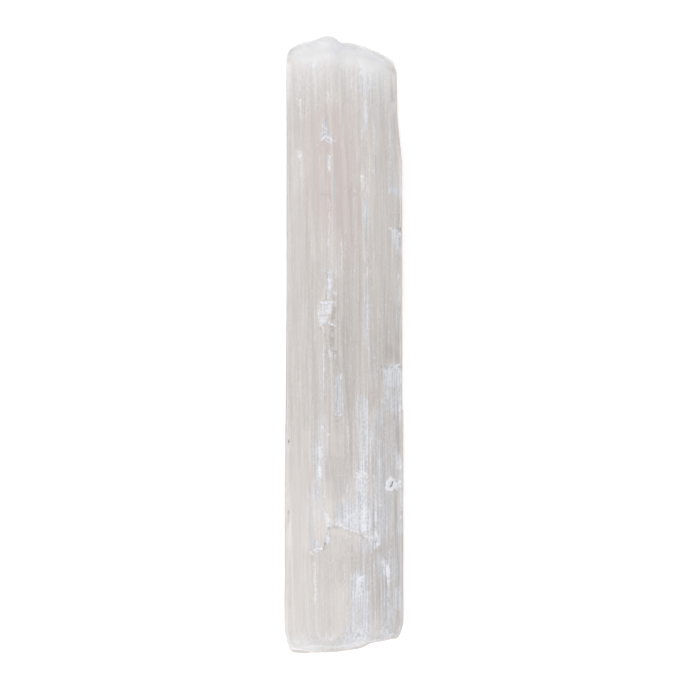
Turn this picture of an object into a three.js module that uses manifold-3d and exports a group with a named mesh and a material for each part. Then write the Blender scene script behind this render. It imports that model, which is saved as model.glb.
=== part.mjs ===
// A raw selenite stick: one split length of satin spar, the fibrous form of gypsum.
// It is a single grown piece. Its fibres run along Y, it lies on a flat split face at Z = 0, and X is
// across it. The sides are long split faces that meet in low ridges, both ends are worn breaks across the
// fibres, and in places the outer layer of fibres has broken away and left a step.
// All sizes are in millimetres.

import * as THREE from 'three';
import { mergeVertices } from 'three/addons/utils/BufferGeometryUtils.js';
import Module from 'manifold-3d';

const LENGTH = 150;
const WIDTH = 29.1;
const HEIGHT = 21;

const HALF_LENGTH = LENGTH / 2;
const HALF_WIDTH = WIDTH / 2;
const MID_HEIGHT = HEIGHT / 2;

// The corners of the cross-section as seen from the foot end, from lower left over the top to lower right:
// [share of half the width, share of the height]. Close pairs are the small steps beside the long ridges.
const SECTION = [
  [-0.84, 0.0], [-0.955, 0.06], [-1.0, 0.3], [-0.985, 0.54], [-0.955, 0.7], [-0.86, 0.83],
  [-0.64, 0.925], [-0.36, 0.975], [-0.18, 1.0], [-0.125, 0.962], [0.03, 0.958], [0.23, 0.955],
  [0.31, 0.99], [0.46, 0.984], [0.6, 0.945], [0.645, 0.905], [0.81, 0.815], [0.93, 0.69],
  [0.985, 0.48], [1.0, 0.26], [0.94, 0.06], [0.81, 0.0],
];
const CORNER_SHARE = 0.3; // how much of each edge its two rounded corners take, each at its own end
const CORNER_REACH = 1.6; // and the most that a corner takes of a long edge
const RING_POINTS = 104;

// How far each end stands back from the full length across the width: [share of half the width, distance].
const HEAD_SETBACK = reader([
  [-1, 3.8], [-0.93, 3.2], [-0.83, 2.2], [-0.69, 1.35], [-0.52, 1.1], [-0.45, 0.6], [-0.36, 0.15], [-0.3, 0],
  [-0.24, 0.05], [-0.14, 0.55], [-0.1, 1.1], [-0.07, 1.6], [0.06, 1.6], [0.36, 2.4], [0.61, 3.85], [0.75, 4.75],
  [0.9, 6.1], [1, 7.4],
]);
const FOOT_SETBACK = reader([
  [-1, 2.8], [-0.94, 1.3], [-0.89, 0.4], [-0.8, 0.05], [-0.66, 0], [-0.32, 0.08], [-0.07, 0.4], [0.11, 0.85],
  [0.28, 1.2], [0.335, 1.6], [0.39, 2.3], [0.63, 2.8], [0.84, 3.45], [0.92, 3.7], [1, 4.2],
]);
// How far each end face leans back at the top, and how far its rim is rounded across, up and along the stick.
const HEAD = { setback: HEAD_SETBACK, lean: 3.6, roundAcross: 1.3, roundUp: 2.6, roundAlong: 1.9 };
const FOOT = { setback: FOOT_SETBACK, lean: 2.2, roundAcross: 2.0, roundUp: 2.6, roundAlong: 4.6 };
const LEAN_FROM = 0.3; // share of the height above which an end face leans back
// The low swells on the broken end faces: their height, and their radians per millimetre across and up.
const SWELL = { height: 0.4, first: [0.42, 0.3], second: [-0.2, 0.38] };
const ROUND_STEPS = 4;
const FACE_RINGS = [0.87, 0.74, 0.6, 0.46, 0.31, 0.15]; // rings on an end face, as shares of its rim
const BODY_RINGS = 12;

// Towards the head the right side draws in and the top comes down a little.
const TAPER_FROM = 39;
const TAPER_TO = 60;
const RIGHT_TAPER = 0.115; // share of the half width lost on the right
const TOP_TAPER = 0.035; // share of the height lost on top
const LEFT_TAPER = 0.028; // share of the half width lost on the left, above the foot
const LEFT_TAPER_FROM = -34;
const LEFT_TAPER_TO = 18;
// The long, low waves of the split faces: their height, their radians per millimetre along the stick, and the
// radians from each point of a ring to the next, for the wave itself and for how strong it is.
const WAVE = { height: 0.22, along: 0.06, shift: 0.8, swing: 0.57, start: 0.4 };

// Places where the outer fibres have broken away. Each cut's flat floor faces `turn` degrees from straight up
// (90 is the right side, 180 the underside) and lies at `floor` from the stick's axis. `dip` tips it along
// the fibres, so that a cut runs out to nothing towards one end. Its outline is [across, along].
const BREAKS = [
  // The front layer, gone from the foot end up to a ragged edge.
  {
    turn: 0, floor: 9.35, dip: 0,
    outline: [
      [-8.3, -90], [-8.0, -50.3], [-5.0, -49.4], [-4.4, -47.2], [-4.0, -44.2], [-0.8, -43.6], [1.6, -45.0],
      [3.4, -45.2], [4.8, -46.5], [6.2, -46.8], [8.6, -48.3], [8.9, -90],
    ],
  },
  // A long chip out of the right shoulder.
  {
    turn: 47, floor: 12.38, dip: 1.7,
    outline: [[0.3, -47], [0.4, -5.4], [4.4, -5.1], [9, -5.6], [9, -47]],
  },
  // The notch in the left ridge.
  {
    turn: 0, floor: 9.75, dip: 0,
    outline: [
      [-4.2, -2.2], [-4.6, 4.1], [-5.5, 5.6], [-5.6, 9.6], [-4.3, 11], [-4.0, 17.8], [-1.9, 17.5], [-1.9, -1.6],
    ],
  },
  // A narrow splinter beside the notch.
  {
    turn: 0, floor: 9.45, dip: -0.6,
    outline: [[-1.75, -17], [-1.6, -7], [-0.4, -6.2], [0.1, -16.8]],
  },
  // A chip out of the right edge, towards the head.
  {
    turn: 62, floor: 13.1, dip: 1.9,
    outline: [[1.2, -3], [1, 25.3], [2.4, 26.1], [2.8, 28], [4.6, 28.2], [7, 26.6], [7, -3]],
  },
  // The layer gone from the left side.
  {
    turn: 270, floor: 14.05, dip: 0.35,
    outline: [
      [-9, -21.5], [-9, 26.2], [-6.3, 25.9], [-6.0, 22.7], [-4.1, 22.3], [-3.7, 27.4], [-1.4, 27.9],
      [-1.1, 16.1], [0.5, 15.8], [0.9, -8.4], [1.6, -8.9], [1.5, -15.2], [-0.7, -15.6], [-1, -19.1],
      [-4.2, -19.5], [-4.5, -21.7],
    ],
  },
  // Splinters gone from the left side at the foot.
  {
    turn: 285, floor: 14.1, dip: 0.9,
    outline: [
      [-2, -90], [-1.8, -44.6], [-0.2, -44.1], [0.1, -40.3], [2.3, -40], [2.6, -47.2], [4.1, -47.6],
      [4.3, -90],
    ],
  },
  // The layer gone from the right side, up to the head.
  {
    turn: 90, floor: 14.15, dip: 0,
    outline: [
      [-9, 90], [-9, -9.6], [-2.6, -9.9], [-2.3, -13.1], [0.6, -13.4], [0.9, -21.6], [3.2, -22.1],
      [3.5, -16.3], [5.8, -15.9], [6.1, -27.4], [8.3, -27.9], [13, -27.2], [13, 90],
    ],
  },
  // Splinters gone from the right side near the head.
  {
    turn: 96, floor: 13.3, dip: -0.8,
    outline: [[1, 12], [0.6, 40.6], [2.1, 41], [2.5, 48.3], [4.4, 48.7], [4.8, 44.2], [6.4, 43.9], [6.6, 12]],
  },
  // The layer gone from the underside at the head.
  {
    turn: 180, floor: 9.95, dip: 0,
    outline: [
      [-15, 23], [-15, 90], [-4.5, 90], [-4.1, 38.4], [-5.6, 37.9], [-5.8, 26.1], [-8, 25.7], [-8.3, 20.4],
      [-10.6, 20], [-11, 23.4],
    ],
  },
];
const CUT_HEIGHT = 12;

const wasm = await Module();
wasm.setup();

/** A smooth-ended ramp from 0 at `from` to 1 at `to`. */
function ramp(value, from, to) {
  return THREE.MathUtils.smoothstep(value, from, to);
}

/** A function that reads a table of [position, value] pairs, with straight lines between them. */
function reader(pairs) {
  const line = new THREE.LinearInterpolant(pairs.map((pair) => pair[0]), pairs.map((pair) => pair[1]), 1);
  return (position) => line.evaluate(position)[0];
}

/** The point on the edge from `corner` to `other` where the corner's rounding starts. */
function roundingPoint(corner, other) {
  const share = Math.min(CORNER_SHARE, CORNER_REACH / corner.distanceTo(other));
  return corner.clone().lerp(other, share);
}

/** The cross-section with its corners rounded, as evenly spaced points from the left foot over the top. */
function sectionPoints() {
  const corners = SECTION.map(([across, up]) => new THREE.Vector2(across * HALF_WIDTH, up * HEIGHT));
  const shape = new THREE.Shape();
  corners.forEach((corner, i) => {
    const start = roundingPoint(corner, corners.at(i - 1));
    const end = roundingPoint(corner, corners[(i + 1) % corners.length]);
    if (i === 0) shape.moveTo(start.x, start.y);
    else shape.lineTo(start.x, start.y);
    shape.quadraticCurveTo(corner.x, corner.y, end.x, end.y);
  });
  shape.closePath();
  return shape.getSpacedPoints(RING_POINTS).slice(0, RING_POINTS);
}

/** The Y of an end face at a point of the cross-section. `side` is 1 for the head and -1 for the foot. */
function endFace(end, side, x, z) {
  const lean = end.lean * ramp(z, LEAN_FROM * HEIGHT, HEIGHT);
  const first = Math.sin(SWELL.first[0] * x + SWELL.first[1] * z * side);
  const second = Math.sin(SWELL.second[0] * x * side + SWELL.second[1] * z);
  const swell = SWELL.height * Math.abs(first * second);
  return side * (HALF_LENGTH - end.setback(x / HALF_WIDTH) - lean - swell);
}

/** Draws a point in where the stick narrows. `relief` is how far its split faces are worn back there. */
function placed(x, y, z, relief) {
  const taper = ramp(y, TAPER_FROM, TAPER_TO);
  const rightShare = 1 - RIGHT_TAPER * taper;
  const leftShare = 1 - LEFT_TAPER * ramp(y, LEFT_TAPER_FROM, LEFT_TAPER_TO);
  const inwards = 1 - (relief / HALF_WIDTH) * Math.min(1, z);
  return new THREE.Vector3(
    x * (x > 0 ? rightShare : leftShare) * inwards,
    y,
    z * (1 - TOP_TAPER * taper) * inwards,
  );
}

/** The depth of the long, low waves at a ring's point `i`, which differ from one fibre bundle to the next. */
function waves(i, y) {
  const wave = Math.sin(WAVE.along * y + WAVE.shift * i);
  return WAVE.height * Math.abs(wave * Math.sin(WAVE.swing * i + WAVE.start));
}

/** One ring: the section, scaled across and up about the axis, `share` of the way from foot to head. */
function ring(section, { across = 1, up = 1, share, headBack, footBack, wavy = 1 }) {
  return section.map((point, i) => {
    const x = point.x * across;
    const z = MID_HEIGHT + (point.y - MID_HEIGHT) * up;
    const foot = endFace(FOOT, -1, x, z) + footBack;
    const head = endFace(HEAD, 1, x, z) - headBack;
    const y = THREE.MathUtils.lerp(foot, head, share);
    return placed(x, y, z, waves(i, y) * wavy);
  });
}

/** The rings of one end, from the straight body to the middle of the end face. */
function endRings(section, end, share) {
  const rings = [];
  const rim = { across: 1 - end.roundAcross / HALF_WIDTH, up: 1 - end.roundUp / MID_HEIGHT };
  for (let step = 0; step <= ROUND_STEPS; step += 1) {
    const angle = (Math.PI / 2) * (step / ROUND_STEPS);
    const back = end.roundAlong * (1 - Math.sin(angle));
    const across = THREE.MathUtils.lerp(rim.across, 1, Math.cos(angle));
    const up = THREE.MathUtils.lerp(rim.up, 1, Math.cos(angle));
    rings.push(ring(section, { across, up, share, headBack: back, footBack: back, wavy: Math.cos(angle) }));
  }
  FACE_RINGS.forEach((part) => {
    const size = { across: rim.across * part, up: rim.up * part };
    rings.push(ring(section, { ...size, share, headBack: 0, footBack: 0, wavy: 0 }));
  });
  return rings;
}

/** A closed surface through rings of equally many points, in order along Y, with a fan on each end. */
function loft(rings) {
  const count = rings[0].length;
  const centre = (points) => points.reduce((sum, p) => sum.add(p), new THREE.Vector3()).divideScalar(count);
  const points = [...rings.flat(), centre(rings[0]), centre(rings.at(-1))];
  const footPole = points.length - 2;
  const headPole = points.length - 1;
  const lastRing = (rings.length - 1) * count;
  const index = [];
  for (let i = 0; i < count; i += 1) {
    const next = (i + 1) % count;
    index.push(footPole, next, i, headPole, lastRing + i, lastRing + next);
    for (let r = 0; r < lastRing; r += count) {
      index.push(r + i, r + next, r + count + i, r + next, r + count + next, r + count + i);
    }
  }
  return new THREE.BufferGeometry().setFromPoints(points).setIndex(index);
}

/** A three.js geometry as a solid for joining and cutting. */
function solidOf(geometry) {
  const bare = geometry.clone();
  bare.deleteAttribute('normal');
  bare.deleteAttribute('uv');
  const merged = mergeVertices(bare);
  return new wasm.Manifold(new wasm.Mesh({
    numProp: 3,
    vertProperties: merged.attributes.position.array,
    triVerts: new Uint32Array(merged.index.array),
  }));
}

/** A cut solid as a three.js geometry again. */
function geometryOf(solid) {
  const mesh = solid.getMesh();
  const geometry = new THREE.BufferGeometry();
  geometry.setAttribute('position', new THREE.BufferAttribute(mesh.vertProperties, 3));
  geometry.setIndex(new THREE.BufferAttribute(mesh.triVerts, 1));
  geometry.computeVertexNormals();
  return geometry;
}

/** The uncut stick: the section carried along the fibres, with worn, rounded ends. */
function stickBody() {
  const section = sectionPoints();
  const body = [];
  for (let i = 1; i < BODY_RINGS; i += 1) {
    body.push(ring(section, { share: i / BODY_RINGS, headBack: HEAD.roundAlong, footBack: FOOT.roundAlong }));
  }
  return loft([...endRings(section, FOOT, 0).reverse(), ...body, ...endRings(section, HEAD, 1)]);
}

/** The block of fibres that one break has taken away. */
function breakBlock({ turn, floor, dip, outline }) {
  const shape = new THREE.Shape(outline.map(([across, along]) => new THREE.Vector2(across, along)));
  const block = new THREE.ExtrudeGeometry(shape, { depth: CUT_HEIGHT, bevelEnabled: false });
  const middle = outline.reduce((sum, point) => sum + Math.max(point[1], -HALF_LENGTH), 0) / outline.length;
  block.translate(0, -middle, 0);
  block.rotateX(THREE.MathUtils.degToRad(-dip));
  block.translate(0, middle, floor);
  block.rotateY(THREE.MathUtils.degToRad(turn));
  block.translate(0, 0, MID_HEIGHT);
  return block;
}

/** Moves and stretches a geometry to fill the driving dimensions, lying on Z = 0 over the origin. */
function fitted(geometry) {
  geometry.computeBoundingBox();
  const { min, max } = geometry.boundingBox;
  geometry.translate(-(min.x + max.x) / 2, -(min.y + max.y) / 2, -min.z);
  geometry.scale(WIDTH / (max.x - min.x), LENGTH / (max.y - min.y), HEIGHT / (max.z - min.z));
  return geometry;
}

const uncut = solidOf(stickBody());
const cut = BREAKS.reduce((solid, gap) => solid.subtract(solidOf(breakBlock(gap))), uncut);

const spar = new THREE.MeshStandardMaterial({ color: 0xd2cdca, roughness: 0.45, metalness: 0 });
const stick = new THREE.Mesh(fitted(geometryOf(cut)), spar);
stick.name = 'selenite_stick';

const group = new THREE.Group();
group.add(stick);

export default group;
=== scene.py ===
"""A raw selenite stick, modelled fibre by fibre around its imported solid.

The stick is one split length of satin spar, the fibrous form of gypsum. Its fibres run along Y, and it lies
on a flat split face. The blank is a box at the solid's place, wrapped onto the solid and then worked into
fibres. Lengths in the classes are in millimetres where nothing else is said, and meshes are in metres.
"""

import logging
import math
from dataclasses import dataclass
from enum import Enum

import bpy
import numpy as np
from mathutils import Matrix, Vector, noise
from mathutils.bvhtree import BVHTree

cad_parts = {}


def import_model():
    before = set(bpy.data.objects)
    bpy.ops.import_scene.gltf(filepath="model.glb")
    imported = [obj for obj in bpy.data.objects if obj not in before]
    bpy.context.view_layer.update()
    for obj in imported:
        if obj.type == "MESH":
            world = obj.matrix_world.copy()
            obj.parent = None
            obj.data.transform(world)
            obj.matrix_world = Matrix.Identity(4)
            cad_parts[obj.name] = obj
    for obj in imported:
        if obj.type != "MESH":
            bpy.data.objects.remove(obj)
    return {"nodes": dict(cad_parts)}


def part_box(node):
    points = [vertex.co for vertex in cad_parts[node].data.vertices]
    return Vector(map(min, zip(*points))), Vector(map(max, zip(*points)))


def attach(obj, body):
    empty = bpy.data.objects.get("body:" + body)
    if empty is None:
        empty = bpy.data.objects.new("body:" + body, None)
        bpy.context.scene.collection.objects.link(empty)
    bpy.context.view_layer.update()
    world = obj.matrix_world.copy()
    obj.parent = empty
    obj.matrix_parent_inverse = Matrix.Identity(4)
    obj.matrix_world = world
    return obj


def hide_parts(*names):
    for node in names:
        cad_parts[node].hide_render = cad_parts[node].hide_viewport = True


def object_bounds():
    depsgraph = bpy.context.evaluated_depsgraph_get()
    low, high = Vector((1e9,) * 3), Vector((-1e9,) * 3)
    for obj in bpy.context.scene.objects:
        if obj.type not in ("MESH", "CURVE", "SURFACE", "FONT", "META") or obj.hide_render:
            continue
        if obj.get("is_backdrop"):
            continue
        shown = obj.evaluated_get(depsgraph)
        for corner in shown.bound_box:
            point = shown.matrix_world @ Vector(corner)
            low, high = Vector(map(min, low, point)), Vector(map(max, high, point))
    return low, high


Socket = bpy.types.NodeSocket
Tree = bpy.types.NodeTree

log = logging.getLogger("selenite")

MM = 0.001
FIBRE_MAP = "fibres"  # the map whose U runs along the fibres
BAKE_MAP = "OFBake"  # the map that the export bakes on
SCATTER = 1723.0  # parts neighbouring places so far that each has a chance number of its own
SALT_WAY = Vector((1, 7, 13))  # the way in which a salt moves a place
BREAK_STEP = 0.37  # how far apart the breaks along one lath draw their chance numbers
TINY = 1e-9  # keeps a stroke with a single corner from dividing by 0
# The numbers of a Mix node's colour sockets, which share their names with its other sockets.
MIX_SHARE, MIX_UNDER, MIX_OVER, MIX_RESULT = 0, 6, 7, 2


class Trait(Enum):
    """What each point of the surface remembers for its finish, as attributes of the mesh."""

    TONE = "tone"  # below 0 the eye sees deep into clean fibres, above 0 they are pale; it also carries painted shade along the edges and ends, and painted light where it lifts a shadow
    BLUSH = "blush"  # clean fibres with a faint rosy tinge
    CLOUD = "cloud"  # fibres that have parted a little and shine blue white in streaks
    POWDER = "powder"  # crushed fibres
    HAZE = "haze"  # frosted by wear
    CRACKS = "cracks"  # hair cracks across the fibres
    PIT_AND_SHADE = "pit"  # real dirt in cracks and pits, and painted shade beside steps, along the long edges and round the head's outline


TONE, BLUSH, CLOUD, POWDER, HAZE, CRACKS, PIT_AND_SHADE = Trait


class Draw(Enum):
    """What a chance number decides. The value is its salt."""

    LENGTH = 1.0  # how long a lath is between two breaks
    START = 2.0  # where the first of them lies
    DEPTH = 3.0  # how far a lath stands back
    BRUISE = 4.0  # how badly a break is bruised
    LAG = 5.0  # how far a fibre lies before or behind its neighbours


def linear(colour: str) -> tuple[float, float, float, float]:
    """Turns an sRGB hex colour into the linear values that shaders take, by the curve of the standard.

    Args:
        colour: Six hex digits after a hash sign, such as "#c9c4c0".

    Returns:
        Red, green, blue and an alpha of 1.
    """
    channels = (int(colour[i:i + 2], 16) / 255 for i in (1, 3, 5))
    red, green, blue = (c / 12.92 if c <= 0.04045 else ((c + 0.055) / 1.055) ** 2.4 for c in channels)
    return red, green, blue, 1.0


def ramp(value: np.ndarray | float, low: float, high: float) -> np.ndarray | float:
    """Returns a smooth-ended ramp from 0 at low to 1 at high, which may lie either way round."""
    share = np.clip((value - low) / (high - low), 0.0, 1.0)
    return share * share * (3 - 2 * share)


def chance(place: Vector, draw: Draw) -> float:
    """Returns a number from 0 to 1 that is always the same for the same place and draw."""
    return 0.5 + 0.5 * noise.cell(place * SCATTER + SALT_WAY * draw.value)


def add_node(
    tree: Tree,
    kind: str,
    settings: dict[str, object] | None = None,
    inputs: dict[str | int, object] | None = None,
) -> bpy.types.Node:
    """Adds a shader node with its settings and links.

    Args:
        tree: The material's node tree.
        kind: The node's type, such as "ShaderNodeMix".
        settings: The node's own properties.
        inputs: Per input name or number, a plain value, or the output socket that is linked to it.

    Returns:
        The new node.
    """
    node = tree.nodes.new(kind)
    for name, value in (settings or {}).items():
        setattr(node, name, value)
    for name, value in (inputs or {}).items():
        if isinstance(value, Socket):
            tree.links.new(value, node.inputs[name])
        else:
            node.inputs[name].default_value = value
    return node


@dataclass
class Skin:
    """The stick's surface while it is worked: the solid's box, and a row or a value for each point."""

    low: np.ndarray  # the least x, y and z of the solid
    high: np.ndarray  # the greatest
    points: np.ndarray  # x, y and z
    ways: np.ndarray  # which way each point looks, out from the stick's core
    pitch: np.ndarray  # the grid's spacing along the fibres
    flank: np.ndarray  # 1 on the sides, falling to 0 near the ends
    lag: np.ndarray  # each fibre's own number from -1 to 1, which frays what crosses the fibres
    traits: dict[Trait, np.ndarray]  # what the finish needs to know


@dataclass(frozen=True)
class Grain:
    """Smooth noise from about -1 to 1, which may be drawn out along the fibres."""

    across: float
    along: float
    salt: float  # sets it apart from other noise

    def at(self, points: np.ndarray) -> np.ndarray:
        """Returns the noise's value for each row of x, y and z."""
        scaled = points / (self.across, self.along, self.across) + self.salt
        return np.array([noise.noise(row) for row in scaled])


@dataclass(frozen=True)
class Laths:
    """One size of fibre bundle: long laths side by side, each broken off at lengths of its own."""

    width: float  # across the bundle
    depth: float  # how far the deepest lath stands back
    length: float  # mean length between two breaks, from half to one and a half times as much
    salt: float
    draw_up: float = 0.9  # how far the points beside a break are drawn up to it, as a share of the way
    bruise: float = 0.55  # how crushed the fibres are at the worst breaks
    rarity: int = 6  # the higher it is, the fewer breaks are bruised
    bruise_reach: float = 0.8

    def at(self, point: np.ndarray) -> tuple[float, float, float]:
        """Reads the lath at a point.

        Args:
            point: x, y and z.

        Returns:
            Its depth there, the distance along the fibres to its nearest break (above 0 where the break
            lies towards the head), and how badly that break is bruised, from 0 to 1.
        """
        x, y, z = point
        core = noise.voronoi(Vector((x / self.width, self.salt, z / self.width)))[1][0]
        length = self.length * (0.5 + chance(core, Draw.LENGTH))
        start = chance(core, Draw.START)
        count = math.floor(y / length + start)
        along = (y / length + start - count) * length
        depth = self.depth * chance(core + Vector((0, BREAK_STEP * count, 0)), Draw.DEPTH)
        to_head = length - along
        nearest, number = (to_head, count + 1) if to_head < along else (-along, count)
        return depth, nearest, chance(core + Vector((0, BREAK_STEP * number, 0)), Draw.BRUISE)

    def part(self, skin: Skin) -> np.ndarray:
        """Parts the sides into laths.

        Args:
            skin: The surface. Its points beside a lath's break are drawn up to the break.

        Returns:
            How far each point stands back.
        """
        depth = np.zeros(len(skin.points))
        for i in np.flatnonzero(skin.flank):
            depth[i], to_break, bruise = self.at(skin.points[i])
            if abs(to_break) < skin.pitch[i]:
                skin.points[i, 1] += to_break * self.draw_up
            near = math.exp(-abs(to_break) / self.bruise_reach)
            skin.traits[POWDER][i] += self.bruise * bruise ** self.rarity * near
        return depth * skin.flank


@dataclass(frozen=True)
class Brush:
    """What a group of strokes has in common."""

    trait: Trait
    stretch: float = 1.0  # how far a stroke's soft ends are drawn out along the fibres
    soft: float = 0.5  # share of its half width that its edge takes on either side
    ridges: float = 0.0  # height of its cross ridges
    sunk: float = 0.0  # how far its middle lies below the surface
    fray: float = 0.2  # how far a fibre in it lies before or behind its neighbours

    def strokes(self, *rows: tuple[float | tuple[float, ...], ...]) -> tuple["Mark", ...]:
        """Makes the group's marks.

        Args:
            rows: Each stroke's strength, its width, and the corners of its path. A corner is an x and a y,
                and where the path follows a fibre, an x and the ys of both its ends.

        Returns:
            One mark for each row.
        """
        return tuple(
            Mark(self, strength, wide, tuple((x, y) for x, *ys in runs for y in ys))
            for strength, wide, *runs in rows
        )


@dataclass(frozen=True)
class Mark:
    """A stroke of one trait on the upper side, such as a bruise, a crack, a pale streak, a painted shadow or
    a painted lift of light.
    """

    brush: Brush
    strength: float
    wide: float
    path: tuple[tuple[float, float], ...]  # x and y of its corners

    def shares(self, points: np.ndarray, lag: np.ndarray) -> np.ndarray:
        """Reads how strongly the mark shows.

        Args:
            points: Rows of x, y and z.
            lag: Each point's fibre's own number.

        Returns:
            One value for each point, 0 outside the mark and its strength inside.
        """
        stretch, soft = self.brush.stretch, self.brush.soft
        x = points[:, 0]
        y = points[:, 1] / stretch + self.brush.fray * lag
        nearest = np.full(len(points), np.inf)
        for (x0, y0), (x1, y1) in zip(self.path, self.path[1:] or self.path):
            way_x, way_y = x1 - x0, (y1 - y0) / stretch
            length = max(way_x ** 2 + way_y ** 2, TINY)
            share = np.clip(((x - x0) * way_x + (y - y0 / stretch) * way_y) / length, 0, 1)
            away = np.hypot(x - x0 - share * way_x, y - y0 / stretch - share * way_y)
            nearest = np.minimum(nearest, away)
        half = 0.5 * self.wide
        return self.strength * ramp(nearest, half * (1 + soft), half * (1 - soft))
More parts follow.
